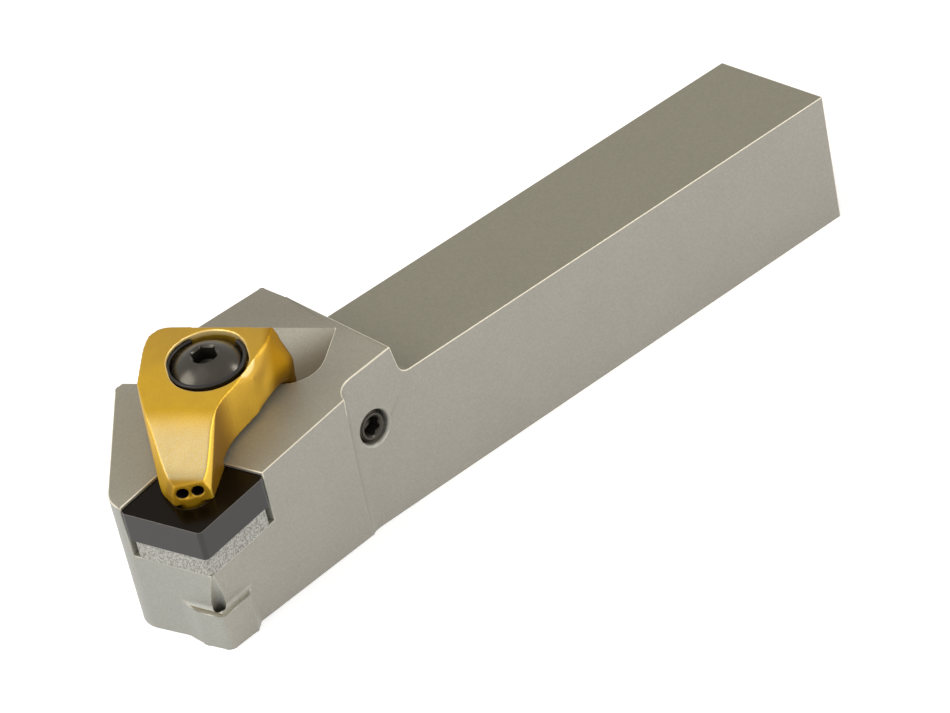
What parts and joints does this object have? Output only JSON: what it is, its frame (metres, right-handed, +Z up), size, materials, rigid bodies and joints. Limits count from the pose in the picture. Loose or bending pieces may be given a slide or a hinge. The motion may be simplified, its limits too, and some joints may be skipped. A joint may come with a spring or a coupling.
{
  "type": "turning tool holder",
  "caption": "Square-shank lathe tool holder with an offset head: a rhombic insert on a shim, held by a gold-coloured screw clamp with coolant jets in its nose.",
  "frame": {"origin": "in the base face of the shank, on its middle line, at the rear end", "axes": "+X from the head towards the rear end, along the shank; +Y away from the cutting nose, towards the far side of the head; +Z up, from the base face to the cutting face"},
  "size_m": [0.128, 0.0312, 0.0325],
  "materials": {
    "holder_steel": "fine ground steel with a satin nickel-like coat",
    "insert_coating": "dark coated carbide with ground flanks",
    "shim_carbide": "pale speckled sintered carbide",
    "black_screw": "blackened steel",
    "clamp_gold": "gold-coloured hard coat on blasted steel",
    "spring_wire": "drawn spring wire",
    "seal_rubber": "smooth dark rubber"
  },
  "bodies": {
    "holder": {"holder_body": "holder_steel", "insert": "insert_coating", "shim": "shim_carbide", "shim_screw": "black_screw", "side_plug": "black_screw", "port_plug": "black_screw"},
    "clamp_unit": {"clamp": "clamp_gold", "snap_ring": "spring_wire", "clamp_spring": "spring_wire", "seal_ring": "seal_rubber"},
    "screw": {"clamp_screw": "black_screw"}
  },
  "joints": [
    {"name": "clamp_lift", "type": "slide", "parent": "holder", "child": "clamp_unit", "axis": [-0.099, -0.0854, 0.9914], "range_m": [0, 0.0035], "deforming": ["clamp_spring"]},
    {"name": "screw_turn", "type": "hinge", "parent": "clamp_unit", "child": "screw", "pos_m": [-0.10564, 0.00224, 0.02342], "axis": [-0.099, -0.0854, 0.9914], "range_deg": [0, 1260]}
  ],
  "couplings": [
    {"joint": "screw_turn", "follows": "clamp_lift", "rad_per_m": 6283.2}
  ]
}
